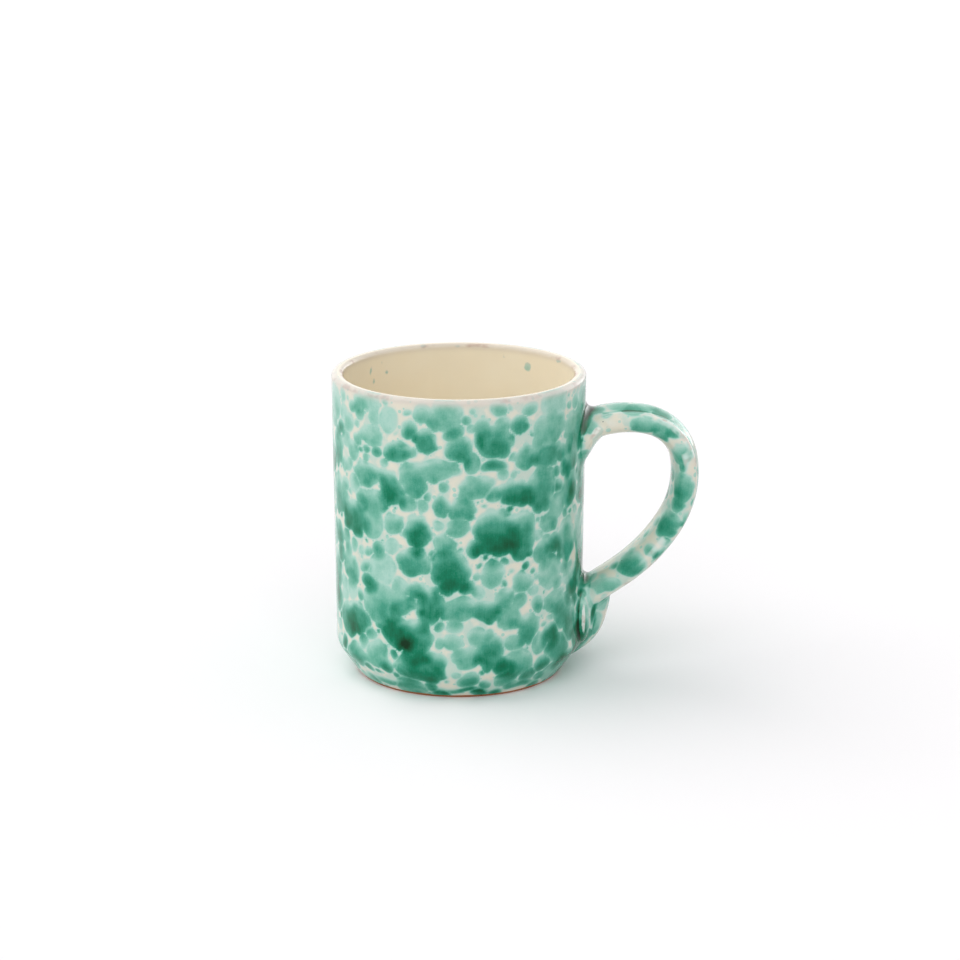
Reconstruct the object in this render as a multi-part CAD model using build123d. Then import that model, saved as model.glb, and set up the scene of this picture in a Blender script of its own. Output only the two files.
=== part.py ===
from build123d import *
import os
from math import cos, exp, pi, radians, sin

# A thrown and glazed earthenware mug with a pulled strap handle.
# Millimetres, +Z up, +X towards the handle, origin at the centre of the base.

# Driving dimensions
HEIGHT = 96.9               # table to the top of the lip, over the glaze
RIM_RADIUS = 40.0           # outside of the lip, over the glaze
WAIST_RADIUS = 39.15        # outside of the wall just above the bevel
FOOT_RADIUS = 32.6          # edge of the bare base
BEVEL_HEIGHT = 9.6          # the trimmed bevel between the base and the wall
WALL = 3.8                  # wall with its two coats of glaze
FLOOR = 6.0                 # base with its coat of glaze
GLAZE = 0.4                 # one coat of glaze
BARE_FOOT = 0.6             # clay line left bare above the table

BEVEL_ROUNDING = 6.0
LIP_ROUNDING = 1.45
FLOOR_ROUNDING = 9.0

STRAP_WIDTH = (18.0, 15.0)  # upper joint, lower joint
STRAP_THICKNESS = 7.7
STRAP_SQUARENESS = 2.4      # exponent of the section's outline; 2 is an ellipse
STRAP_TWIST = 7.0           # degrees that the outer face is turned towards -Y
FLUTE_DEPTH = 0.75          # two thumb grooves along the outer face
FLUTE_OFFSET = 0.27         # of the strap's width, each side of the middle
FLUTE_WIDTH = 0.09          # of the strap's width
SECTION_POINTS = 28
SECTION_COUNT = 17

STRAP_START = (36.2, 77.4)  # radius and height of the strap's middle, inside the wall
STRAP_RISE = 28.3           # degrees above level where it leaves the wall
STRAP_ROOT = 3.2            # straight length before the first bend
STRAP_BENDS = ((29.5, 40.1), (15.0, 67.9), (30.4, 41.0), (56.8, 24.6))  # radius, degrees
STRAP_END = 17.0            # straight length into the lower joint

TAIL_TOP = 25.0             # the end of the strap, pressed down the wall by a thumb
TAIL_BOTTOM = 3.6
TAIL_PROUD = 8.2            # how far it stands off the wall at its fullest
TAIL_WIDTH = 15.5
TAIL_CORE = 5.0             # how far its sections reach into the wall
TAIL_SECTIONS = 6

FLARE_REACH = (36.0, 40.0, 43.0, 48.0)      # radii where the clay under the upper joint is measured
FLARE_HEIGHT = (75.0, 76.9, 79.6, 81.6)     # the middle of the clay at each of those radii
FLARE_UP = (10.2, 7.7, 5.2, 3.0)            # half its height
FLARE_ACROSS = (12.0, 11.2, 9.9, 8.0)       # half its width

SMEAR_HEIGHT = 19.5         # the pad of clay smeared round the lower joint
SMEAR_RADIUS = 38.8
SMEAR_SIZE = (3.6, 11.4, 11.0)              # half sizes out, across and up


def rounded(face, corner, radius):
    """The face with its corner nearest to the given point rounded off."""
    nearest = face.vertices().sort_by_distance(Vector(*corner))[0]
    return fillet(nearest, radius)


def solid_section(inset):
    """Half of the mug's section as if it were solid, with its outside set back by inset."""
    waist = (WAIST_RADIUS - inset, BEVEL_HEIGHT)
    lip = (RIM_RADIUS - inset, HEIGHT - inset)
    face = make_face(Polyline((0, 0), (FOOT_RADIUS - inset, 0), waist, lip, (0, lip[1]), close=True))
    return rounded(rounded(face, waist, BEVEL_ROUNDING), lip, LIP_ROUNDING)


def wall_section(inset):
    """Half of the mug's section, hollow, with its glazed surfaces set back by inset."""
    lip = (RIM_RADIUS - WALL + inset, HEIGHT - inset)
    corner = (WAIST_RADIUS - WALL + inset, FLOOR - inset)
    hollow = make_face(Polyline((0, corner[1]), corner, lip, (0, lip[1]), close=True))
    return rounded(solid_section(inset) - rounded(hollow, corner, FLOOR_ROUNDING), lip, LIP_ROUNDING)


def turned(face):
    """The solid that a half section makes about the mug's axis."""
    return revolve(Plane.XZ * face, Axis.Z, 360)


def strap_path():
    """The middle line of the strap, as a straight root, four bends and a straight end."""
    rise = radians(STRAP_RISE)
    point, heading = Vector(*STRAP_START), Vector(cos(rise), sin(rise))
    edges = [Line(point, point + heading * STRAP_ROOT)]
    for radius, turn in STRAP_BENDS:
        edges.append(JernArc(edges[-1] @ 1, edges[-1] % 1, radius, -turn))
    edges.append(Line(edges[-1] @ 1, edges[-1] @ 1 + (edges[-1] % 1) * STRAP_END))
    return Plane.XZ * Wire(edges)


def strap_section(width, thickness):
    """A rounded strap section, +Y outwards, with a thumb groove on each side of its outer face."""
    power = 2 / STRAP_SQUARENESS
    points = []
    for step in range(SECTION_POINTS):
        angle = 2 * pi * (step + 0.5) / SECTION_POINTS
        across = width / 2 * abs(cos(angle)) ** power * (1 if cos(angle) > 0 else -1)
        out = thickness / 2 * abs(sin(angle)) ** power * (1 if sin(angle) > 0 else -1)
        if out > 0:
            off_groove = (abs(across) - FLUTE_OFFSET * width) / (FLUTE_WIDTH * width)
            out -= FLUTE_DEPTH * exp(-off_groove**2)
        points.append((across, out))
    return make_face(Spline(*points, periodic=True))


def strap(grow):
    """The strap, grown by grow on every side, still running into the wall at both ends."""
    path = strap_path()
    sections = []
    for index in range(SECTION_COUNT):
        along = index / (SECTION_COUNT - 1)
        width = STRAP_WIDTH[0] + (STRAP_WIDTH[1] - STRAP_WIDTH[0]) * along + 2 * grow
        place = Plane(path @ along, x_dir=(0, 1, 0), z_dir=path % along).rotated((0, 0, STRAP_TWIST))
        sections.append(place * strap_section(width, STRAP_THICKNESS + 2 * grow))
    return loft(sections)


def tail(grow):
    """The strap's end, pressed down the wall and over the bevel to a point."""
    sections = []
    for index in range(TAIL_SECTIONS):
        down = index / (TAIL_SECTIONS - 1)
        height = TAIL_TOP + (TAIL_BOTTOM - TAIL_TOP) * down
        on_bevel = max(0, 1 - height / BEVEL_HEIGHT) * (WAIST_RADIUS - FOOT_RADIUS)
        proud = TAIL_PROUD * cos(down * pi / 2) ** 0.9 + 0.4
        half_width = TAIL_WIDTH / 2 * (1 - 0.62 * down**2)
        oval = Ellipse(TAIL_CORE + proud + grow, half_width + grow)
        sections.append(Pos(WAIST_RADIUS - on_bevel - TAIL_CORE, 0, height) * oval)
    return loft(sections)


def handle(grow):
    return strap(grow) + tail(grow)


def upper_slip(grow):
    """The clay that flares from the strap's root onto the wall."""
    sections = []
    for reach, height, up, across in zip(FLARE_REACH, FLARE_HEIGHT, FLARE_UP, FLARE_ACROSS):
        oval = Plane.YZ * Ellipse(across + grow, up + grow)
        sections.append(Pos(reach, 0, height) * oval)
    return loft(sections)


def lower_slip(grow):
    """The clay smeared round the pressed tail, a flattened ball half sunk in the wall."""
    ball = scale(Sphere(1), by=tuple(half + grow for half in SMEAR_SIZE))
    return Pos(SMEAR_RADIUS, 0, SMEAR_HEIGHT) * ball


def joined(grow):
    """The handle with the soft clay at both of its joints, grown by grow."""
    return handle(grow) + upper_slip(grow) + lower_slip(grow)


clay_form, glazed_form = turned(solid_section(GLAZE)), turned(solid_section(0))
clay_handle, clay_joined = handle(0), joined(0)

above_foot = Pos(0, BARE_FOOT + HEIGHT / 2) * Rectangle(4 * RIM_RADIUS, HEIGHT)
coat = (wall_section(0) - wall_section(GLAZE)) & above_foot
lip_middle = RIM_RADIUS - WALL / 2
inside = solid_section(WALL / 2) + Pos(lip_middle / 2, HEIGHT) * Rectangle(lip_middle, HEIGHT)

nodes = {
    "thrown_body": turned(wall_section(GLAZE)),
    "pulled_handle": clay_handle - clay_form,
    "upper_joint_slip": upper_slip(0) - clay_form - clay_handle,
    "lower_joint_slip": lower_slip(0) - clay_form - clay_handle,
    "liner_glaze": turned(coat & inside),
    "outer_glaze": turned(coat - inside) - clay_joined,
    "handle_glaze": joined(GLAZE) - glazed_form - clay_joined,
}

os.makedirs("parts", exist_ok=True)
for name, shape in nodes.items():
    print(name, round(shape.volume), "mm3, solids:", len(shape.solids()))
    export_step(shape, f"parts/{name}.step")
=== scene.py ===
"""Looks for a thrown mug with a pulled strap handle, cream glaze and green copper spatter.

Metres throughout, +Z up, +X towards the handle. Sizes written in millimetres are multiplied by MM.
"""

import math
import random

import bmesh
import bpy
import numpy as np
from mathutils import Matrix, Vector
from mathutils.bvhtree import BVHTree


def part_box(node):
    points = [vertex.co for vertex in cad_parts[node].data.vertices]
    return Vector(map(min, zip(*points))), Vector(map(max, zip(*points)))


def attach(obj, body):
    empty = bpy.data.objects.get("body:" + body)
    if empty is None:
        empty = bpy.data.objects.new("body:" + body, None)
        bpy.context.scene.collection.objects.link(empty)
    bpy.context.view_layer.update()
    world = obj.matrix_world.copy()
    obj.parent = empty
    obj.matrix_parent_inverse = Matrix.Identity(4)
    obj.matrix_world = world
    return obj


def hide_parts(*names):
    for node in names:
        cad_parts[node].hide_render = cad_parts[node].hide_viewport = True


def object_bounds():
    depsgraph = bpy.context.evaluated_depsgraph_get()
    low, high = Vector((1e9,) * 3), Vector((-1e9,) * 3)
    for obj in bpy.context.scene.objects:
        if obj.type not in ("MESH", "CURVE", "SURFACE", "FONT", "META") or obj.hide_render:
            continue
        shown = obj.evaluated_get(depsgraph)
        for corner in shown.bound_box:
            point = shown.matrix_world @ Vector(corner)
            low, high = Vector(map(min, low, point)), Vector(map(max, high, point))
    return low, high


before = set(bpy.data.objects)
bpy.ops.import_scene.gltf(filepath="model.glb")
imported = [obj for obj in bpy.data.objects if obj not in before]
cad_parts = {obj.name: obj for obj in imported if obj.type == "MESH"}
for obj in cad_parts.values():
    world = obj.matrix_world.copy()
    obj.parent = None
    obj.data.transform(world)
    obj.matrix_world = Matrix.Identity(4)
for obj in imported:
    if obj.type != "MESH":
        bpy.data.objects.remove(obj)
cad_low, cad_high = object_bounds()

MM = 0.001
RIM_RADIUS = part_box("outer_glaze")[1].y
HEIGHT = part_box("outer_glaze")[1].z
WAIST_RADIUS = RIM_RADIUS - 0.85 * MM
FOOT_RADIUS = RIM_RADIUS - 7.4 * MM
BEVEL_HEIGHT = 9.6 * MM
WALL = 3.8 * MM
FLOOR = 6.0 * MM
GLAZE = 0.4 * MM
BARE_FOOT = 0.6 * MM
BEVEL_ROUNDING = 6.0 * MM
LIP_ROUNDING = 1.45 * MM
FLOOR_ROUNDING = 9.0 * MM

SKIN_STEP = 0.62 * MM       # spacing of points on a surface that carries the spatter
LINER_STEP = 0.75 * MM      # spacing inside the mug
PLAIN_STEP = 3.0 * MM       # spacing where nothing shows
ARC_STEP = 0.4 * MM         # spacing round a rounded corner
COLUMNS = 400               # points round the mug
HUB = 20 * MM               # radius of the circle that a half section is swept round


# ---------------------------------------------------------------- shader maths

class Wire:
    """A value on its way through a finish. Sums and products on it add Math nodes."""

    def __init__(self, finish, socket):
        self.finish, self.socket = finish, socket

    def _math(self, operation, first, second):
        return self.finish.node("ShaderNodeMath", {"operation": operation}, {0: first, 1: second})

    def __add__(self, other):
        return self._math("ADD", self, other)

    def __sub__(self, other):
        return self._math("SUBTRACT", self, other)

    def __rsub__(self, other):
        return self._math("SUBTRACT", other, self)

    def __mul__(self, other):
        return self._math("MULTIPLY", self, other)

    def least(self, other):
        return self._math("MINIMUM", self, other)

    def most(self, other):
        return self._math("MAXIMUM", self, other)

    def rise(self, start, end):
        """0 below start, 1 above end, with a smooth change between them."""
        values = {"Value": self, "From Min": start, "From Max": end}
        return self.finish.node("ShaderNodeMapRange", {"interpolation_type": "SMOOTHSTEP"}, values)

    __radd__ = __add__


def srgb(red, green, blue):
    """A colour given as 0 to 255 on a screen, as the linear colour that a shader takes."""
    def linear(part):
        part /= 255
        return part / 12.92 if part <= 0.04045 else ((part + 0.055) / 1.055) ** 2.4
    return linear(red), linear(green), linear(blue), 1.0


class Board:
    """A node tree that is put together from expressions."""

    def __init__(self, owner, place="Object"):
        owner.use_nodes = True
        self.tree = owner.node_tree
        self.tree.nodes.clear()
        self.place = self.node("ShaderNodeTexCoord", output=place)

    def node(self, kind, settings=None, inputs=None, output=0):
        """Adds a node, sets it up, fills its sockets with values or wires and gives an output."""
        made = self.tree.nodes.new(kind)
        for key, value in (settings or {}).items():
            if key == "stops":
                self._stops(made.color_ramp, value)
            else:
                setattr(made, key, value)
        for key, value in (inputs or {}).items():
            if isinstance(value, Wire):
                self.tree.links.new(value.socket, made.inputs[key])
            else:
                made.inputs[key].default_value = value
        return None if output is None else Wire(self, made.outputs[output])

    @staticmethod
    def _stops(ramp, stops):
        while len(ramp.elements) < len(stops):
            ramp.elements.new(0.5)
        for element, (position, colour) in zip(ramp.elements, stops):
            element.position, element.color = position, colour

    def attribute(self, name):
        return self.node("ShaderNodeAttribute", {"attribute_name": name}, output="Fac")

    def noise(self, size, detail=2.0, place=None):
        """Soft noise from 0 to 1 with features of about the given size."""
        values = {"Vector": place or self.place, "Scale": 1 / size, "Detail": detail}
        return self.node("ShaderNodeTexNoise", None, values)

    def stretched(self, across, up):
        """Object coordinates divided by a size across and a size up, for streaks."""
        scale = (1 / across, 1 / across, 1 / up)
        return self.node("ShaderNodeMapping", None, {"Vector": self.place, "Scale": scale})

    def dots(self, spacing, radius, seed_shift):
        """1 inside small round specks that are spacing apart on average."""
        place = self.node("ShaderNodeMapping", None, {"Vector": self.place, "Location": seed_shift})
        values = {"Vector": place, "Scale": 1 / spacing}
        away = self.node("ShaderNodeTexVoronoi", {"feature": "F1"}, values, output="Distance")
        tone = self.node("ShaderNodeTexVoronoi", {"feature": "F1"}, values, output="Color")
        size = self.node("ShaderNodeSeparateColor", None, {"Color": tone}, output="Red") * radius
        return (size - away).rise(0.0, 0.1 * radius + 0.01)

    def mix(self, factor, first, second):
        """The first colour, turning into the second as the factor goes from 0 to 1."""
        values = {0: factor, 6: first, 7: second}
        return self.node("ShaderNodeMix", {"data_type": "RGBA"}, values, output=2)

    def ramp(self, factor, stops):
        return self.node("ShaderNodeValToRGB", {"stops": stops}, {"Fac": factor}, output="Color")


class Finish(Board):
    """A material whose surface is one Principled shader."""

    def __init__(self, name):
        self.material = bpy.data.materials.new(name)
        super().__init__(self.material)

    def finish(self, colour, roughness, bumps=(), **fixed):
        """Ends the material in a Principled surface. Bumps are (height wire, depth in metres)."""
        normal = None
        for height, depth in bumps:
            values = {"Height": height, "Distance": depth, "Strength": 1.0}
            if normal is not None:
                values["Normal"] = normal
            normal = self.node("ShaderNodeBump", None, values, output="Normal")
        values = {"Base Color": colour, "Roughness": roughness}
        values.update({key.replace("_", " "): value for key, value in fixed.items()})
        if normal is not None:
            values["Normal"] = normal
        surface = self.node("ShaderNodeBsdfPrincipled", None, values, output="BSDF")
        self.node("ShaderNodeOutputMaterial", None, {"Surface": surface}, output=None)
        return self.material


# ---------------------------------------------------------------- finishes

CREAM = srgb(221, 215, 198)
COPPER_TONES = (            # the colour of the glaze by how much copper lies in it
    (0.00, CREAM),
    (0.10, srgb(196, 208, 196)),
    (0.26, srgb(164, 204, 191)),
    (0.42, srgb(120, 182, 162)),
    (0.58, srgb(68, 152, 128)),
    (0.74, srgb(4, 118, 86)),
    (0.88, srgb(0, 88, 56)),
    (1.00, srgb(0, 46, 18)),
)
SEAM_SHOWS = 0.28           # how pale the glaze is where two drops meet without merging
POOLS_BETWEEN = (0.015 * MM, 0.12 * MM)     # depths of a hollow, from no pooled glaze to full
THINS_BETWEEN = (0.148 * MM, 0.18 * MM)     # heights of a ridge, from full glaze to thin glaze with a painted highlight
GLOSS = 0.17                # how strongly the glaze mirrors the room


def spatter_glaze():
    """Glossy cream glaze with copper green that has run and pooled in overlapping drops."""
    f = Finish("spatter_glaze")
    edge, depth = f.attribute("drop_edge"), f.attribute("drop_depth")
    hollow, lip = f.attribute("hollow"), f.attribute("lip")

    # Where the drops are: their outlines waver, and pale seams part those that only touch.
    waver = f.noise(2.2 * MM, 1.5) - 0.5
    inside = (edge + waver * (0.4 * MM)).rise(-0.32 * MM, 0.55 * MM)
    seam = (f.attribute("drop_seam") + waver * (0.6 * MM)).rise(-0.1 * MM, 0.6 * MM)
    veil = edge.rise(-1.6 * MM, 0.2 * MM) * 0.06

    # How much copper lies in them, clouded and streaked as it ran.
    thick = edge.rise(0.0, 1.8 * MM)
    streaks = f.noise(1.0, 2.0, f.stretched(0.5 * MM, 4.0 * MM)) - 0.5
    mottle = f.noise(0.45 * MM, 2.0) - 0.5
    cloud = f.noise(4.5 * MM, 3.0) - 0.5
    body = depth * (0.80 + thick * 0.20) + streaks * 0.2 * depth + mottle * 0.10 + cloud * 0.34

    # What lies between them: fine dots and a faint wash.
    dots = f.dots(2.1 * MM, 0.40, (0.31, 0.17, 0.23)) * (1 - inside) * 0.22
    wash = f.noise(6.0 * MM, 3.0, f.stretched(1.0, 1.2)).rise(0.52, 0.62)
    wash = wash * (0.10 + mottle * 0.1) * (1 - lip)

    copper = inside * (0.17 + body.most(0.0)) * (1 - (1 - seam) * SEAM_SHOWS) + dots
    copper = copper.most(wash) + veil
    pooled = hollow.rise(*POOLS_BETWEEN)
    thinned_and_highlit = (0 - hollow).rise(*THINS_BETWEEN)
    copper = copper * (1 - thinned_and_highlit * 0.75) + pooled * 0.52
    colour = f.ramp(copper.least(1.0), COPPER_TONES)

    # The ridges and the lip, where the glaze is thin and the clay shows brown; along the ridges a painted
    # highlight as well.
    rusty = thinned_and_highlit * f.noise(3.0 * MM, 2.0).rise(0.52, 0.66) * 0.4
    # Painted highlight: ridge crests are mixed half way to near white, partly the glaze breaking pale and
    # partly a painted highlight.
    colour = f.mix(thinned_and_highlit * 0.5, colour, srgb(232, 236, 232))
    colour = f.mix(rusty, colour, srgb(156, 112, 84))
    colour = f.mix(lip * 0.8, colour, srgb(206, 198, 190))
    broken = lip.rise(0.5, 1.0) * f.noise(6.0 * MM, 3.0).rise(0.50, 0.64)
    colour = f.mix(broken * 0.3, colour, srgb(150, 112, 106))
    specks = f.dots(6.5 * MM, 0.045, (0.11, 0.41, 0.05))
    colour = f.mix(specks * 0.8, colour, srgb(20, 70, 66))

    bumps = ((f.noise(7 * MM, 1.0), 0.25 * MM), (inside, 0.02 * MM))
    return f.finish(colour, 0.07 + mottle * 0.03, bumps, Specular_IOR_Level=GLOSS)


def liner_finish():
    """Glossy warm cream glaze with a few stray flecks under the lip."""
    f = Finish("cream_liner_glaze")
    edge, depth, lip = f.attribute("drop_edge"), f.attribute("drop_depth"), f.attribute("lip")
    inside = (edge + (f.noise(1.2 * MM, 2.0) - 0.5) * (0.5 * MM)).rise(-0.1 * MM, 0.4 * MM)
    cloud = f.noise(16 * MM, 3.0)
    cream = f.mix(cloud, srgb(248, 240, 219), srgb(243, 230, 203))
    copper = inside * (0.1 + depth)
    green = f.ramp(copper.least(1.0), COPPER_TONES)
    colour = f.mix(inside * 0.8, cream, green)
    colour = f.mix(lip * 0.7, colour, srgb(198, 187, 176))
    broken = lip.rise(0.5, 1.0) * f.noise(9.0 * MM, 3.0).rise(0.50, 0.62)
    colour = f.mix(broken * 0.6, colour, srgb(158, 108, 88))
    specks = f.dots(9 * MM, 0.035, (0.21, 0.02, 0.4))
    colour = f.mix(specks * 0.7, colour, srgb(120, 88, 50))
    bumps = ((f.noise(8 * MM, 1.0), 0.25 * MM),)
    return f.finish(colour, 0.08 + cloud * 0.03, bumps, Specular_IOR_Level=GLOSS)


def clay_finish():
    """Bare fired red clay with grog and fine pores."""
    f = Finish("bare_red_clay")
    cloud, grain = f.noise(5 * MM, 4.0), f.noise(0.5 * MM, 3.0)
    colour = f.mix(cloud, srgb(150, 92, 58), srgb(176, 116, 78))
    colour = f.mix(f.dots(1.4 * MM, 0.2, (0.1, 0.2, 0.3)) * 0.6, colour, srgb(205, 168, 132))
    colour = f.mix(f.dots(2.2 * MM, 0.16, (0.5, 0.1, 0.2)) * 0.7, colour, srgb(84, 50, 36))
    bumps = ((grain, 0.12 * MM), (cloud, 0.2 * MM))
    return f.finish(colour, 0.74 + grain * 0.2, bumps, Specular_IOR_Level=0.25)


def floor_finish():
    f = Finish("pale_floor")
    colour = f.mix(f.noise(0.4, 2.0), srgb(246, 244, 246), srgb(249, 247, 249))
    return f.finish(colour, 0.75, Specular_IOR_Level=0.1)


# ---------------------------------------------------------------- turned pieces

def rounded_line(*corners):
    """A half section through corners given as (radius, height, rounding), as (radius, height) points."""
    points = [Vector(corners[0][:2])]
    for before, corner, after in zip(corners, corners[1:], corners[2:]):
        at, rounding = Vector(corner[:2]), corner[2]
        back = (Vector(before[:2]) - at).normalized()
        on = (Vector(after[:2]) - at).normalized()
        half = back.angle(on) / 2
        middle = at + (back + on).normalized() * rounding / math.sin(half)
        start = at + back * rounding / math.tan(half) - middle
        end = at + on * rounding / math.tan(half) - middle
        turn = math.pi - 2 * half
        steps = max(4, math.ceil(turn * rounding / ARC_STEP))
        for step in range(steps + 1):
            on_arc = start * math.sin(turn * (1 - step / steps)) + end * math.sin(turn * step / steps)
            points.append(middle + on_arc / math.sin(turn))
    return points + [Vector(corners[-1][:2])]


def spaced(points, step):
    """The line with points added so that none are further apart than step."""
    line = [points[0]]
    for start, end in zip(points, points[1:]):
        count = max(1, math.ceil((end - start).length / step))
        line += [start.lerp(end, (i + 1) / count) for i in range(count)]
    return line


def outside_line(inset, foot):
    """Up the outside from the height foot to the middle of the lip, set back by inset."""
    slope = (WAIST_RADIUS - FOOT_RADIUS) / BEVEL_HEIGHT
    return rounded_line(
        (FOOT_RADIUS - inset + slope * foot, foot),
        (WAIST_RADIUS - inset, BEVEL_HEIGHT, BEVEL_ROUNDING),
        (RIM_RADIUS - inset, HEIGHT - inset, LIP_ROUNDING),
        (RIM_RADIUS - WALL / 2, HEIGHT - inset),
    )


def inside_line(inset):
    """From the middle of the lip down the inside to the centre of the floor, set back by inset."""
    return rounded_line(
        (RIM_RADIUS - WALL / 2, HEIGHT - inset),
        (RIM_RADIUS - WALL + inset, HEIGHT - inset, LIP_ROUNDING),
        (WAIST_RADIUS - WALL + inset, FLOOR - inset, FLOOR_ROUNDING),
        (0, FLOOR - inset),
    )


def turning_tree():
    """A node tree that turns a half section about the mug's axis, with the slight rings of throwing."""
    tree = bpy.data.node_groups.new("turning", "GeometryNodeTree")
    sockets = (
        ("Section", "NodeSocketGeometry", None),
        ("Columns", "NodeSocketInt", COLUMNS),
        ("Hub", "NodeSocketFloat", HUB),
        ("Ring Depth", "NodeSocketFloat", 0.06 * MM),
        ("Ring Height", "NodeSocketFloat", 7 * MM),
        ("Edge Waver", "NodeSocketFloat", 0.0),
        ("Seed", "NodeSocketFloat", 3.0),
        ("Material", "NodeSocketMaterial", None),
    )
    for name, kind, value in sockets:
        socket = tree.interface.new_socket(name, in_out="INPUT", socket_type=kind)
        if value is not None:
            socket.default_value = value
    tree.interface.new_socket("Turned", in_out="OUTPUT", socket_type="NodeSocketGeometry")

    def node(kind, settings=None, **inputs):
        made = tree.nodes.new(kind)
        for key, value in (settings or {}).items():
            setattr(made, key, value)
        for key, value in inputs.items():
            target = made.inputs[int(key[1:])] if key[0] == "_" else made.inputs[key.replace("_", " ")]
            if isinstance(value, bpy.types.NodeSocket):
                tree.links.new(value, target)
            else:
                target.default_value = value
        return made

    def math_node(operation, first, second):
        return node("ShaderNodeMath", {"operation": operation}, _0=first, _1=second).outputs[0]

    given = tree.nodes.new("NodeGroupInput").outputs
    hub = node("GeometryNodeCurvePrimitiveCircle", None, Resolution=given["Columns"], Radius=given["Hub"])
    upright = node("GeometryNodeSetCurveNormal", {"mode": "Z_UP"}, Curve=hub.outputs[0])
    section = node("GeometryNodeMeshToCurve", None, Mesh=given["Section"])
    turned = node("GeometryNodeCurveToMesh", None,
                  Curve=upright.outputs[0], Profile_Curve=section.outputs[0])
    welded = node("GeometryNodeMergeByDistance", None, Geometry=turned.outputs[0], Distance=0.5e-5)

    place = node("GeometryNodeInputPosition").outputs[0]
    level = node("ShaderNodeVectorMath", {"operation": "MULTIPLY"}, _0=place, _1=(1, 1, 0)).outputs[0]
    outward = node("ShaderNodeVectorMath", {"operation": "NORMALIZE"}, _0=level).outputs[0]
    parts = node("ShaderNodeSeparateXYZ", None, Vector=place).outputs
    flattened = node("ShaderNodeVectorMath", {"operation": "MULTIPLY"}, _0=place, _1=(0.12, 0.12, 1.0))
    per_ring = math_node("DIVIDE", 1.0, given["Ring Height"])
    rings = node("ShaderNodeTexNoise", {"noise_dimensions": "4D"},
                 Vector=flattened.outputs[0], W=given["Seed"], Scale=per_ring, Detail=1.0).outputs[0]
    inward = math_node("MULTIPLY", math_node("MULTIPLY", rings, given["Ring Depth"]), -1.0)
    shift = node("ShaderNodeVectorMath", {"operation": "SCALE"}, _0=outward, Scale=inward).outputs[0]
    near_edge = node("ShaderNodeMapRange", {"interpolation_type": "SMOOTHSTEP"},
                     Value=parts["Z"], From_Min=2.4 * MM, From_Max=0.6 * MM).outputs[0]
    waver = node("ShaderNodeTexNoise", {"noise_dimensions": "4D"},
                 Vector=outward, W=given["Seed"], Scale=4.0, Detail=3.0).outputs[0]
    lift = math_node("MULTIPLY", math_node("MULTIPLY", waver, given["Edge Waver"]), near_edge)
    lifted = node("ShaderNodeCombineXYZ", None, Z=lift).outputs[0]
    offset = node("ShaderNodeVectorMath", {"operation": "ADD"}, _0=shift, _1=lifted).outputs[0]
    thrown = node("GeometryNodeSetPosition", None, Geometry=welded.outputs[0], Offset=offset)
    smooth = node("GeometryNodeSetShadeSmooth", None, Geometry=thrown.outputs[0], Shade_Smooth=True)
    real = node("GeometryNodeRealizeInstances", None, Geometry=smooth.outputs[0])
    coated = node("GeometryNodeSetMaterial", None, Geometry=real.outputs[0], Material=given["Material"])
    tree.links.new(coated.outputs[0], tree.nodes.new("NodeGroupOutput").inputs[0])
    return tree


def link(name, mesh):
    obj = bpy.data.objects.new(name, mesh)
    bpy.context.scene.collection.objects.link(obj)
    return obj


def volume(mesh):
    """The signed volume of a closed mesh, which is negative when it is inside out."""
    mesh.calc_loop_triangles()
    co, tri = points_of(mesh), np.zeros(len(mesh.loop_triangles) * 3, np.int32)
    mesh.loop_triangles.foreach_get("vertices", tri)
    a, b, c = co[tri.reshape(-1, 3)].transpose(1, 0, 2)
    return float(np.einsum("ij,ij->i", a, np.cross(b, c)).sum() / 6)


def points_of(mesh):
    co = np.zeros(len(mesh.vertices) * 3)
    mesh.vertices.foreach_get("co", co)
    return co.reshape(-1, 3)


def turned_piece(name, section, closed, material, **sizes):
    """A plain mesh of the half section turned on the mug's axis by the turning tree."""
    count = len(section)
    edges = [(i, (i + 1) % count) for i in range(count if closed else count - 1)]
    line = bpy.data.meshes.new(name + "_section")
    line.from_pydata([(p.x - HUB, -p.y, 0) for p in section], edges, [])
    source = link(name + "_source", line)
    modifier = source.modifiers.new("turning", "NODES")
    modifier.node_group = turning
    values = {"Material": material, **sizes}
    for socket in turning.interface.items_tree:
        if socket.in_out == "INPUT" and socket.name in values:
            modifier[socket.identifier] = values[socket.name]
    ready = source.evaluated_get(bpy.context.evaluated_depsgraph_get())
    mesh = bpy.data.meshes.new_from_object(ready)
    bpy.data.objects.remove(source)
    if volume(mesh) < 0:
        mesh.flip_normals()
    mesh.name = name
    mesh.set_sharp_from_angle(angle=math.radians(50))
    return link(name, mesh)


# ---------------------------------------------------------------- spatter

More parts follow.
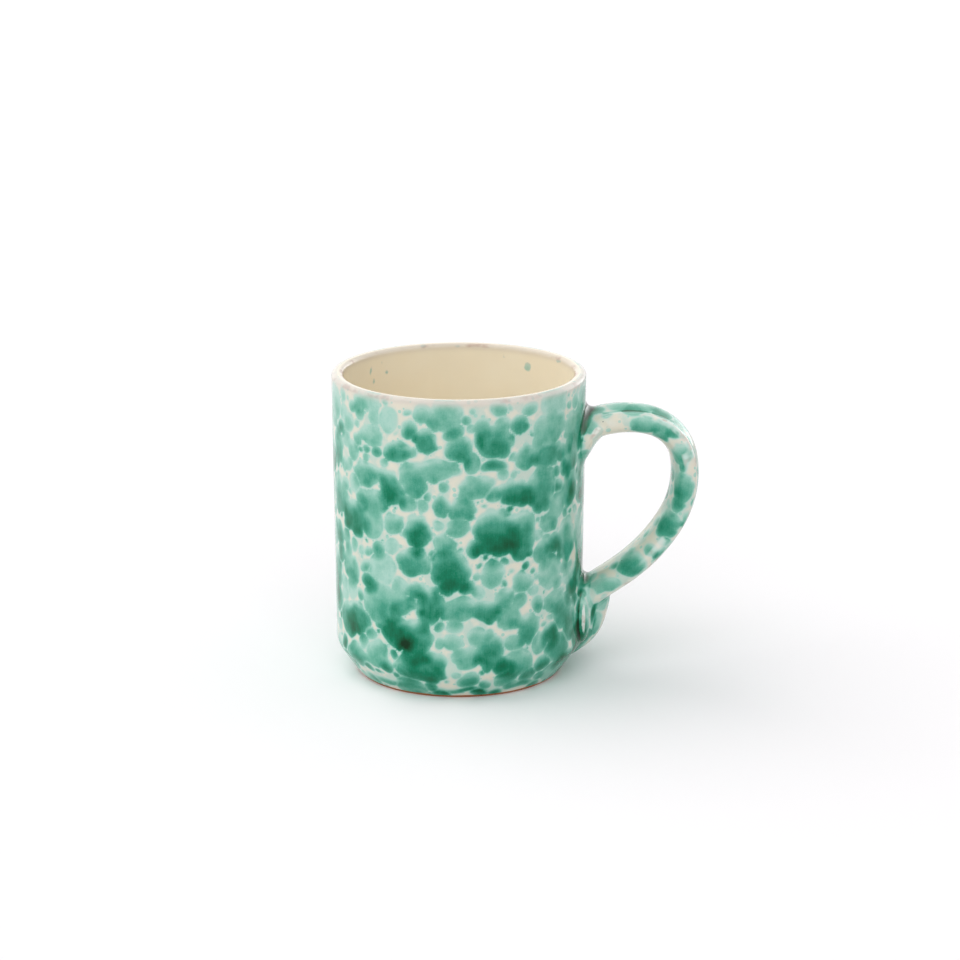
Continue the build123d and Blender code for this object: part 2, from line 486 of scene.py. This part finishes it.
# The large drops on the side that shows best: degrees round from -Y towards the handle,
# height, half width and half height in millimetres, and how dark the copper is.
LARGE_DROPS = (
    (-12, 84, 4.0, 4.0, .75), (-26, 80, 5.5, 3.7, .70), (0, 87, 3.0, 3.0, .35),
    (-8, 90, 2.6, 2.6, .30), (18, 84, 5.5, 5.7, .70), (13, 89, 3.0, 3.0, .35),
    (30, 88, 3.8, 3.6, .75), (20, 94, 3.0, 2.5, .30), (35, 93, 3.6, 2.5, .30),
    (47, 86, 6.5, 5.5, .40), (66, 83, 7.0, 5.0, .40), (45, 77, 6.0, 4.2, .65),
    (34, 78, 4.3, 3.9, .45), (64, 73, 5.0, 3.0, .40), (-68, 76, 4.0, 6.0, .60),
    (-40, 84, 5.0, 3.5, .30), (-29, 68, 4.5, 5.5, .80), (-42, 71, 6.5, 3.7, .50),
    (-18, 72, 4.0, 5.5, .45), (-8, 75, 6.5, 4.0, .40), (18, 76, 4.0, 2.2, .45),
    (10, 70, 5.5, 4.2, .50), (29, 67, 5.8, 4.5, .85), (42, 67, 6.5, 6.5, .70),
    (62, 64, 5.0, 6.5, .45), (-53, 56, 7.0, 6.0, .80), (-67, 61, 6.0, 7.0, .60),
    (-39, 63, 5.0, 3.5, .35), (-16, 55, 4.6, 4.8, .80), (-28, 57, 4.0, 3.5, .35),
    (-5, 64, 3.2, 3.2, .50), (4, 63, 4.0, 4.0, .50), (2, 57, 3.2, 3.2, .45),
    (18, 55, 7.0, 7.5, 1.0), (31, 53, 5.8, 7.5, .75), (47, 56, 4.0, 3.5, .40),
    (60, 48, 6.0, 6.0, .50), (74, 48, 4.0, 8.0, .40), (-37, 48, 3.0, 3.0, .50),
    (-55, 39, 5.0, 4.5, .50), (-73, 35, 4.0, 7.0, .70), (-18, 46, 6.0, 4.5, .60),
    (-2, 44, 6.0, 7.0, .90), (-4, 52, 3.5, 3.5, .45), (18, 42, 3.6, 4.5, .30),
    (32, 38, 4.0, 4.0, .40), (-11, 32, 4.5, 6.5, .75), (-17, 36, 3.2, 3.2, .55),
    (6, 38, 3.0, 3.0, .50), (-24, 31, 3.8, 3.8, .55), (2, 31, 6.3, 4.2, .45),
    (15, 30, 5.0, 4.0, .70), (26, 27, 4.2, 4.2, .40), (36, 23, 4.5, 4.5, .60),
    (23, 34, 3.8, 3.3, .45), (51, 30, 5.0, 3.5, .40), (-50, 23, 6.0, 4.8, .75),
    (-28, 22, 6.0, 6.0, 1.0), (-18, 21, 6.0, 6.0, .75), (0, 20, 3.0, 3.0, .30),
    (16, 17, 5.0, 6.0, .75), (6, 15, 4.5, 4.0, .45), (23, 12, 3.3, 3.0, .75),
    (28, 19, 4.0, 2.8, .40), (44, 10, 3.8, 3.0, .85), (55, 14, 5.5, 5.0, .60),
    (62, 9, 5.0, 3.0, .90), (-53, 11, 6.0, 4.0, .65), (-39, 13, 4.5, 4.5, .40),
    (-16, 11, 9.0, 5.5, .90), (-36, 4, 9.0, 1.6, .50), (3, 3, 13.0, 1.2, .65),
    (37, 3, 5.0, 1.6, .50),
)
LOBES = 7                   # smaller drops round the edge of each large one
LOBE_SHARE = (0.24, 0.46)   # their size, of the large one's
LOBE_DARK = 0.15            # their darkness, of the large one's
STREWN_DROPS = (            # half size in millimetres, tries, and how far one may cover another
    (5.4, 90, 0.40), (4.4, 300, 0.36), (3.5, 700, 0.32), (2.7, 1300, 0.28), (2.0, 2400, 0.26),
    (1.4, 3000, 0.18), (0.9, 2500, 0.08),
)
RIM_BAND = 16 * MM          # the band under the lip that has fewer and paler drops
POOL_REACH = 0.80           # drops closer than this share of their sizes run into one pool
POOLING = 0.85              # how fast copper that lies on copper grows dark


def wall_radius(height):
    """The outside radius of the mug at a height, or at each of many heights."""
    line = outside_line(0, 0)
    return np.interp(height, [point.y for point in line], [point.x for point in line])


def on_wall(degrees_round, height):
    angle = math.radians(degrees_round - 90)
    radius = wall_radius(height)
    return Vector((radius * math.cos(angle), radius * math.sin(angle), height))


class Drops:
    """Drops of copper glaze: a place, half width, half height and darkness each."""

    def __init__(self):
        self.rows = []

    def add(self, place, wide, high, dark):
        self.rows.append((*place, wide, high, dark))

    def add_lobes(self, chance, place_of, wide, high, dark):
        """Smaller drops round one. place_of gives a point from shares of its width and height."""
        for _ in range(LOBES):
            way, share = chance.uniform(0, 2 * math.pi), chance.uniform(*LOBE_SHARE)
            place = place_of(math.cos(way), math.sin(way))
            self.add(place, wide * share * MM, high * share * MM, dark * LOBE_DARK)

    def room(self, place, radius, overlap):
        """Whether a drop there would cover no more than the given share of any other."""
        if not self.rows:
            return True
        rows = np.array(self.rows)
        gap = np.linalg.norm(rows[:, :3] - np.array(place), axis=1)
        reach = np.sqrt(rows[:, 3] * rows[:, 4]) + radius
        return bool((gap > reach * (1 - overlap)).all())

    def pools(self, reach):
        """A number for each drop that drops which overlap far enough share."""
        rows = np.array(self.rows)
        size = np.sqrt(rows[:, 3] * rows[:, 4])
        pool = np.arange(len(rows))
        for i in range(len(rows)):
            gap = np.linalg.norm(rows[i + 1:, :3] - rows[i, :3], axis=1)
            near = gap < reach * (size[i + 1:] + size[i])
            for j in np.nonzero(near)[0] + i + 1:
                pool[pool == pool[j]] = pool[i]
        return pool


def strewn_drops():
    """The listed large drops, then smaller and smaller ones at random wherever there is room."""
    drops, chance = Drops(), random.Random(11)
    for degrees_round, height, wide, high, dark in LARGE_DROPS:

        def beside(across, up):
            sideways = math.degrees(0.80 * wide * MM * across / RIM_RADIUS)
            return on_wall(degrees_round + sideways, height * MM + 0.80 * high * MM * up)

        drops.add(on_wall(degrees_round, height * MM), wide * MM, high * MM, dark)
        if min(wide, high) > 3:
            drops.add_lobes(chance, beside, wide, high, dark)
    for size, tries, overlap in STREWN_DROPS:
        for _ in range(tries):
            height = chance.uniform(1, 95) * MM
            place = on_wall(chance.uniform(0, 360), height)
            radius = size * chance.uniform(0.8, 1.2) * MM
            dark = chance.triangular(0.0, 1.0, 0.25) if size > 2.5 else chance.uniform(0.1, 0.5)
            near_rim = max(0.0, 1 - (HEIGHT - height) / RIM_BAND)
            if chance.random() < near_rim * 0.75:
                continue
            if drops.room(place, radius, overlap):
                wide, high = radius * chance.uniform(0.9, 1.25), radius * chance.uniform(0.85, 1.2)
                drops.add(place, wide, high, dark * (1 - 0.6 * near_rim))
    return drops


LOOP_MIDDLE = (52 * MM, 0.0, 60 * MM)

# The patches on the edge of the strap that shows best: degrees up from +X round the middle
# of the loop, distance from that middle, half width and half height in millimetres, and how
# dark the copper is.
HANDLE_PATCHES = (
    (110, 28, 3.4, 2.0, .80), (115, 24, 2.4, 2.4, .25), (75, 23, 4.4, 3.0, .50),
    (60, 24, 4.2, 3.6, .50), (35, 22, 3.4, 3.8, .60), (25, 20, 1.8, 2.6, .30),
    (5, 18, 4.2, 5.2, .80), (-15, 17, 3.2, 2.6, .35), (-35, 17, 5.2, 3.8, .80),
    (-50, 20, 2.4, 1.8, .35), (-65, 21, 2.4, 2.2, .45), (-85, 24, 5.8, 4.2, .85),
    (-100, 31, 5.0, 2.6, .40), (95, 28, 4.6, 1.8, .45), (75, 28, 3.8, 1.8, .45),
    (50, 26, 3.6, 2.6, .60), (35, 25, 2.0, 4.0, .70), (0, 23, 1.7, 5.4, .55),
    (-25, 22, 1.8, 5.0, .55), (-60, 24, 3.2, 3.4, .75), (-80, 29, 4.8, 1.8, .70),
    (-90, 34, 3.4, 1.6, .50), (-103, 40, 1.7, 7.0, 1.0), (-108, 40, 2.8, 4.4, .30),
    (-106, 46, 2.8, 4.4, .35), (-99, 38, 2.8, 3.0, .20), (-100, 45, 2.2, 5.0, .45),
    (-103, 50, 3.0, 3.2, .60),
)


STRAP_DROPS = (             # half size in millimetres, tries, and how far one may cover another
    (5.0, 90, 0.38), (3.6, 260, 0.38), (2.5, 500, 0.30), (1.6, 700, 0.2), (1.0, 900, 0.1),
)


def handle_drops(mesh):
    """The listed patches, then drops at random, with few on the face towards the mug."""
    drops, chance = Drops(), random.Random(23)
    co, normal = points_of(mesh), normals_of(mesh)
    towards = LOOP_MIDDLE - co
    inner = np.einsum("ij,ij->i", normal, towards) / np.linalg.norm(towards, axis=1)
    facing = co[normal[:, 1] < -0.2]

    def on_strap(x, z):
        return facing[np.argmin(np.hypot(facing[:, 0] - x, facing[:, 2] - z))]

    for degrees_round, reach, wide, high, dark in HANDLE_PATCHES:
        angle = math.radians(degrees_round)
        x = LOOP_MIDDLE[0] + reach * MM * math.cos(angle)
        z = LOOP_MIDDLE[2] + reach * MM * math.sin(angle)

        def beside(across, up):
            return on_strap(x + 0.85 * wide * MM * across, z + 0.85 * high * MM * up)

        drops.add(on_strap(x, z), wide * MM, high * MM, dark * 0.8)
        if min(wide, high) > 2.5:
            drops.add_lobes(chance, beside, wide, high, dark)
    for size, tries, overlap in STRAP_DROPS:
        for _ in range(tries):
            index = chance.randrange(len(co))
            radius = size * chance.uniform(0.8, 1.2) * MM
            # Painted highlight: the face towards the mug is kept almost free of drops, so it stays pale
            # cream in place of its lit rounding.
            if inner[index] > 0.35 and chance.random() < 0.95:
                continue
            if co[index, 1] < -4 * MM and normal[index, 1] < -0.3:
                continue
            if drops.room(co[index], radius, overlap):
                dark = chance.triangular(0.15, 0.8, 0.35)
                drops.add(co[index], radius, radius * chance.uniform(0.9, 1.3), dark)
    return drops


# Stray flecks on the inside under the lip, in the terms of LARGE_DROPS.
LINER_FLECKS = (
    (-126, 91.0, 0.9, 1.4, .35), (-129, 87.5, 0.8, 1.2, .30), (-135, 93.0, 0.7, 1.0, .30),
    (-138, 89.5, 0.7, 1.0, .30), (-147, 92.0, 0.7, 0.9, .25), (145, 91.0, 1.6, 1.6, .35),
    (158, 94.0, 0.5, 1.0, .20), (-160, 95.8, 1.4, 0.8, .25), (-176, 96.2, 1.6, 0.8, .20),
    (120, 96.0, 2.0, 0.8, .2),
)


def liner_drops():
    drops = Drops()
    for degrees_round, height, wide, high, dark in LINER_FLECKS:
        inner = on_wall(degrees_round, height * MM) * ((RIM_RADIUS - WALL) / RIM_RADIUS)
        drops.add((inner.x, inner.y, height * MM), wide * MM, high * MM, dark)
    return drops


def rippled(co, seed):
    """The points moved a little by slow waves, so that drops on them aren't true ovals."""
    chance, moved = random.Random(seed), co.copy()
    for wave, size in ((14.0, 0.35), (6.0, 0.14)):
        for axis in range(3):
            for _ in range(2):
                way = np.array([chance.gauss(0, 1) for _ in range(3)])
                way *= 2 * math.pi / (np.linalg.norm(way) * wave * MM)
                moved[:, axis] += size * MM * np.sin(co @ way + chance.uniform(0, 6.3))
    return moved


def spatter(mesh, drops):
    """Stores how far each point is inside a drop and from the next pool, and its copper."""
    rows, pool = np.array(drops.rows), drops.pools(POOL_REACH)
    co = rippled(points_of(mesh), 5)
    best = np.full(len(co), -1.0)
    second = np.full(len(co), -1.0)
    depth = np.zeros(len(co))
    for number in np.unique(pool):
        own = np.full(len(co), -1.0)
        for x, y, z, wide, high, dark in rows[pool == number]:
            off = co - (x, y, z)
            across = np.sqrt(off[:, 0] ** 2 + off[:, 1] ** 2)
            q = np.sqrt((across / wide) ** 2 + (off[:, 2] / high) ** 2)
            own = np.maximum(own, (1 - q) * min(wide, high))
            low = np.sqrt((across / wide) ** 2 + (off[:, 2] / high + 0.42) ** 2)
            depth += dark * np.clip(1 - (low / 1.3) ** 2, 0, 1) ** 1.3
        second = np.maximum(second, np.minimum(best, own))
        best = np.maximum(best, own)
    store(mesh, "drop_edge", best)
    store(mesh, "drop_seam", (best - second) / 2)
    store(mesh, "drop_depth", 1 - np.exp(-POOLING * depth))


def store(mesh, name, values):
    attribute = mesh.attributes.get(name) or mesh.attributes.new(name, "FLOAT", "POINT")
    attribute.data.foreach_set("value", np.asarray(values, np.float32))


def lip_band(mesh, radius):
    """Stores how near each point is to the rounded shoulder of the lip at a radius."""
    co = points_of(mesh)
    away = np.hypot(np.hypot(co[:, 0], co[:, 1]) - radius, co[:, 2] - (HEIGHT - 0.5 * MM))
    store(mesh, "lip", np.exp(-(away / (1.3 * MM)) ** 2))


CREVICE_DEPTH = 0.06 * MM


def crevice(mesh, neighbour):
    """Stores the hollow where a neighbouring piece meets this one, for copper to pool in."""
    co = points_of(mesh)
    joint = bmesh.new()
    joint.from_mesh(neighbour)
    tree = BVHTree.FromBMesh(joint)
    joint.free()
    hollow = np.zeros(len(co))
    for index in np.nonzero((co[:, 0] > 0.8 * RIM_RADIUS) & (co[:, 2] < 0.95 * HEIGHT))[0]:
        point = Vector(co[index])
        near, normal, _, away = tree.find_nearest(point, 3 * MM)
        if near is not None and math.hypot(near.x, near.y) > wall_radius(near.z):
            side = (point - near).dot(normal)
            hollow[index] = CREVICE_DEPTH * math.exp(-max(side, 0.0) / (0.45 * MM))
    store(mesh, "hollow", hollow)


# ---------------------------------------------------------------- handle

def merged_copy(*nodes):
    """One mesh of copies of CAD nodes, with their loose triangles merged."""
    shape = bmesh.new()
    for name in nodes:
        shape.from_mesh(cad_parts[name].data)
    bmesh.ops.remove_doubles(shape, verts=shape.verts, dist=1e-6)
    mesh = bpy.data.meshes.new("merged")
    shape.to_mesh(mesh)
    shape.free()
    return mesh


def skirt(shape, low, high, half_angle, sunk, thick):
    """Adds a thin patch of wall to shape, just under the coat, for a joint to grow out of."""
    rows, columns = 40, 24
    outer, inner = [], []
    for depth, layer in ((sunk, outer), (sunk + thick, inner)):
        for i in range(rows + 1):
            height = low + (high - low) * i / rows
            radius = wall_radius(height) - depth
            angles = [half_angle * (2 * j / columns - 1) for j in range(columns + 1)]
            layer.append([shape.verts.new((radius * math.cos(a), radius * math.sin(a), height))
                          for a in angles])

    def close(corners, flip=False):
        shape.faces.new(corners[::-1] if flip else corners)

    for i in range(rows):
        for j in range(columns):
            close((outer[i][j], outer[i][j + 1], outer[i + 1][j + 1], outer[i + 1][j]))
            close((inner[i][j], inner[i + 1][j], inner[i + 1][j + 1], inner[i][j + 1]))
        for j, flip in ((0, False), (columns, True)):
            close((outer[i][j], outer[i + 1][j], inner[i + 1][j], inner[i][j]), flip)
    for j in range(columns):
        for i, flip in ((0, True), (rows, False)):
            close((outer[i][j], outer[i][j + 1], inner[i][j + 1], inner[i][j]), flip)


def relaxed(co, edges, weight, rounds):
    """The points moved towards the average of their neighbours, by weight each."""
    count = np.bincount(edges.ravel(), minlength=len(co))[:, None]
    for _ in range(rounds):
        total = np.zeros_like(co)
        for axis in range(3):
            total[:, axis] = (np.bincount(edges[:, 0], co[edges[:, 1], axis], len(co))
                              + np.bincount(edges[:, 1], co[edges[:, 0], axis], len(co)))
        co = co + weight[:, None] * (total / count - co)
    return co


def edges_of(mesh):
    edges = np.zeros(len(mesh.edges) * 2, np.int32)
    mesh.edges.foreach_get("vertices", edges)
    return edges.reshape(-1, 2)


def moved_to(mesh, co):
    mesh.vertices.foreach_set("co", co.ravel())
    mesh.update()


def normals_of(mesh):
    found = np.zeros(len(mesh.vertices) * 3)
    mesh.vertex_normals.foreach_get("vector", found)
    return found.reshape(-1, 3)


def smoothed(co, edges, rounds, weight=0.5):
    return relaxed(co, edges, np.full(len(co), weight), rounds)


HANDLE_VOXEL = 0.42 * MM
HANDLE_NODES = ("pulled_handle", "upper_joint_slip", "lower_joint_slip")
SKIRT_SUNK, SKIRT_THICK = 0.2 * MM, 1.2 * MM
JOINT_REACH = (3.0 * MM, 7.0 * MM)      # off the wall, where the soft joint ends and the strap begins
TAIL_BLENDS = (27.0 * MM, 37.0 * MM)    # above the table, the same for the tail
PROUD_ENOUGH = 0.4 * MM     # off the wall, where the joint has to cover the clay under it
JOINT_ROUNDS = 110          # rounds of smoothing at the joints


def handle_skin(material):
    """The glazed handle: its parts and a patch of wall grown together, with soft joints."""
    parts = merged_copy(*HANDLE_NODES, "handle_glaze")
    exact = bmesh.new()
    exact.from_mesh(merged_copy("handle_glaze"))
    target = BVHTree.FromBMesh(exact)
    exact.free()
    shape = bmesh.new()
    shape.from_mesh(parts)
    skirt(shape, 60 * MM, 92 * MM, math.radians(27), SKIRT_SUNK, SKIRT_THICK)
    skirt(shape, 1.5 * MM, 42 * MM, math.radians(25), SKIRT_SUNK, SKIRT_THICK)
    shape.to_mesh(parts)
    shape.free()
    obj = link("handle_skin", parts)
    remesh = obj.modifiers.new("grown", "REMESH")
    remesh.mode, remesh.voxel_size, remesh.adaptivity = "VOXEL", HANDLE_VOXEL, 0.0
    mesh = bpy.data.meshes.new_from_object(obj.evaluated_get(bpy.context.evaluated_depsgraph_get()))
    bpy.data.objects.remove(obj)
    co, edges = points_of(mesh), edges_of(mesh)
    proud = np.hypot(co[:, 0], co[:, 1]) - wall_radius(co[:, 2])
    (start, end), (low, high) = JOINT_REACH, TAIL_BLENDS
    free = np.clip((proud - start) / (end - start), 0, 1)
    free = free * free * (3 - 2 * free) * np.clip((co[:, 2] - low) / (high - low), 0, 1)
    co = smoothed(co, edges, 3)
    moved_to(mesh, co)
    if volume(mesh) < 0:
        mesh.flip_normals()

    # Smoothing the joints may only add glaze: what it would take away is put back.
    outwards, filled = normals_of(mesh), relaxed(co, edges, 0.5 * (1 - free), JOINT_ROUNDS)
    risen = np.einsum("ij,ij->i", filled - co, outwards)
    co = filled + outwards * (np.maximum(0, -risen) * np.clip(proud / PROUD_ENOUGH, 0, 1))[:, None]

    # The rest of the strap goes back onto the surface of the CAD part.
    for index in np.nonzero(free > 0)[0]:
        near = target.find_nearest(Vector(co[index]))[0]
        co[index] += free[index] * (np.array(near) - co[index])
    co = smoothed(co, edges, 2, 0.3)
    co[:, 0] = np.minimum(co[:, 0], cad_high.x)
    moved_to(mesh, co)
    mesh.shade_smooth()
    mesh.materials.clear()
    mesh.materials.append(material)
    hollow = np.einsum("ij,ij->i", smoothed(co, edges, 30) - co, normals_of(mesh))
    store(mesh, "hollow", smoothed(hollow[:, None].repeat(3, 1), edges, 3)[:, 0])
    mesh.name = "handle_skin"
    return link("handle_coat", mesh)


# ---------------------------------------------------------------- camera, light, floor

ROOM_LIGHT = 0.60
FLOOR_RADIUS = 9.0
LENS, SENSOR = 116.05, 36               # millimetres
CAMERA_DISTANCE, CAMERA_HEIGHT = 0.94186, 0.32605
CAMERA_ROUND = math.radians(2.5)        # how far it stands round from -Y towards the handle
CAMERA_DOWN = math.radians(15.707)      # how far it looks down
CAMERA_ASIDE = 0.00704                  # how far it looks to the right of the mug's axis


def room_light():
    """Even white light, with a darker side and a bright side only for what the glaze mirrors."""
    world = bpy.data.worlds.new("soft_room")
    b = Board(world, "Generated")
    along, behind, up = (
        b.node("ShaderNodeSeparateXYZ", None, {0: b.place}, output=axis) for axis in "XYZ")
    mirrored = 0.15 + along.rise(0.15, 0.75) * 4.8 + up.rise(0.5, 0.9) * 2.4 + behind.rise(0.4, 0.9) * 1.6
    seen = b.node("ShaderNodeLightPath", output="Is Camera Ray")
    glossy = b.node("ShaderNodeLightPath", output="Is Glossy Ray")
    strength = (1 - glossy) * (1 - seen) * ROOM_LIGHT + glossy * mirrored + seen
    values = {"Color": (1, 1, 1, 1), "Strength": strength}
    shade = b.node("ShaderNodeBackground", None, values, output="Background")
    b.node("ShaderNodeOutputWorld", None, {"Surface": shade}, output=None)
    bpy.context.scene.world = world


def sun(name, towards, strength, spread, colour):
    light = bpy.data.lights.new(name, "SUN")
    light.energy, light.angle, light.color = strength, math.radians(spread), colour
    lamp = bpy.data.objects.new(name, light)
    lamp.rotation_euler = Vector(towards).to_track_quat("Z", "Y").to_euler()
    bpy.context.scene.collection.objects.link(lamp)


def studio():
    """A pale floor, soft light from the left and the front, and the camera."""
    scene = bpy.context.scene
    scene.view_settings.view_transform = "Standard"
    bpy.ops.mesh.primitive_circle_add(vertices=96, radius=FLOOR_RADIUS, fill_type="NGON")
    floor = bpy.context.object
    floor.name = "floor"
    floor.data.materials.append(floor_finish())
    room_light()
    sun("window", (-1.0, 0.35, 1.0), 1.35, 70, (1.0, 0.985, 0.96))
    sun("fill", (-0.1, -1.0, 0.9), 0.9, 60, (0.97, 0.985, 1.0))

    lens = bpy.data.cameras.new("camera")
    lens.lens, lens.sensor_width = LENS, SENSOR
    camera = bpy.data.objects.new("camera", lens)
    x, y = CAMERA_DISTANCE * math.sin(CAMERA_ROUND), -CAMERA_DISTANCE * math.cos(CAMERA_ROUND)
    camera.location = (x, y, CAMERA_HEIGHT)
    camera.rotation_euler = (math.pi / 2 - CAMERA_DOWN, 0, CAMERA_ROUND - CAMERA_ASIDE)
    scene.collection.objects.link(camera)
    scene.camera = camera


# ---------------------------------------------------------------- making

turning = turning_tree()
green_glaze, cream_glaze, red_clay = spatter_glaze(), liner_finish(), clay_finish()
drops = strewn_drops()

coat_line = (spaced(outside_line(0, BARE_FOOT), SKIN_STEP)
             + list(reversed(spaced(outside_line(GLAZE, BARE_FOOT), PLAIN_STEP))))
coat = turned_piece("spattered_coat", coat_line, True, green_glaze, **{"Edge Waver": 0.5 * MM})
liner_line = (list(reversed(spaced(inside_line(GLAZE), PLAIN_STEP)))
              + spaced(inside_line(0), LINER_STEP))
liner = turned_piece("cream_liner", liner_line, False, cream_glaze, Columns=360)
spatter(liner.data, liner_drops())
clay_line = ([Vector((0, 0))] + spaced(outside_line(GLAZE, 0), PLAIN_STEP)
             + spaced(inside_line(GLAZE), PLAIN_STEP))
body = turned_piece("clay_body", clay_line, False, red_clay, Columns=256)
handle = handle_skin(green_glaze)
crevice(coat.data, handle.data)
lip_band(coat.data, RIM_RADIUS - 0.5 * MM)
lip_band(liner.data, RIM_RADIUS - WALL + 0.5 * MM)
drops.rows += handle_drops(handle.data).rows
spatter(coat.data, drops)
spatter(handle.data, drops)

pieces = (
    (coat, "outer_glaze", "green_spatter_glaze"),
    (liner, "liner_glaze", "cream_glaze"),
    (body, "thrown_body", "red_clay"),
    (handle, "handle_glaze", "green_spatter_glaze"),
)
for piece, node, finish_slot in pieces:
    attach(piece, "root")
    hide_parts(node)
for name in HANDLE_NODES:
    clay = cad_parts[name].data
    clay.materials.clear()
    clay.materials.append(red_clay)

studio()
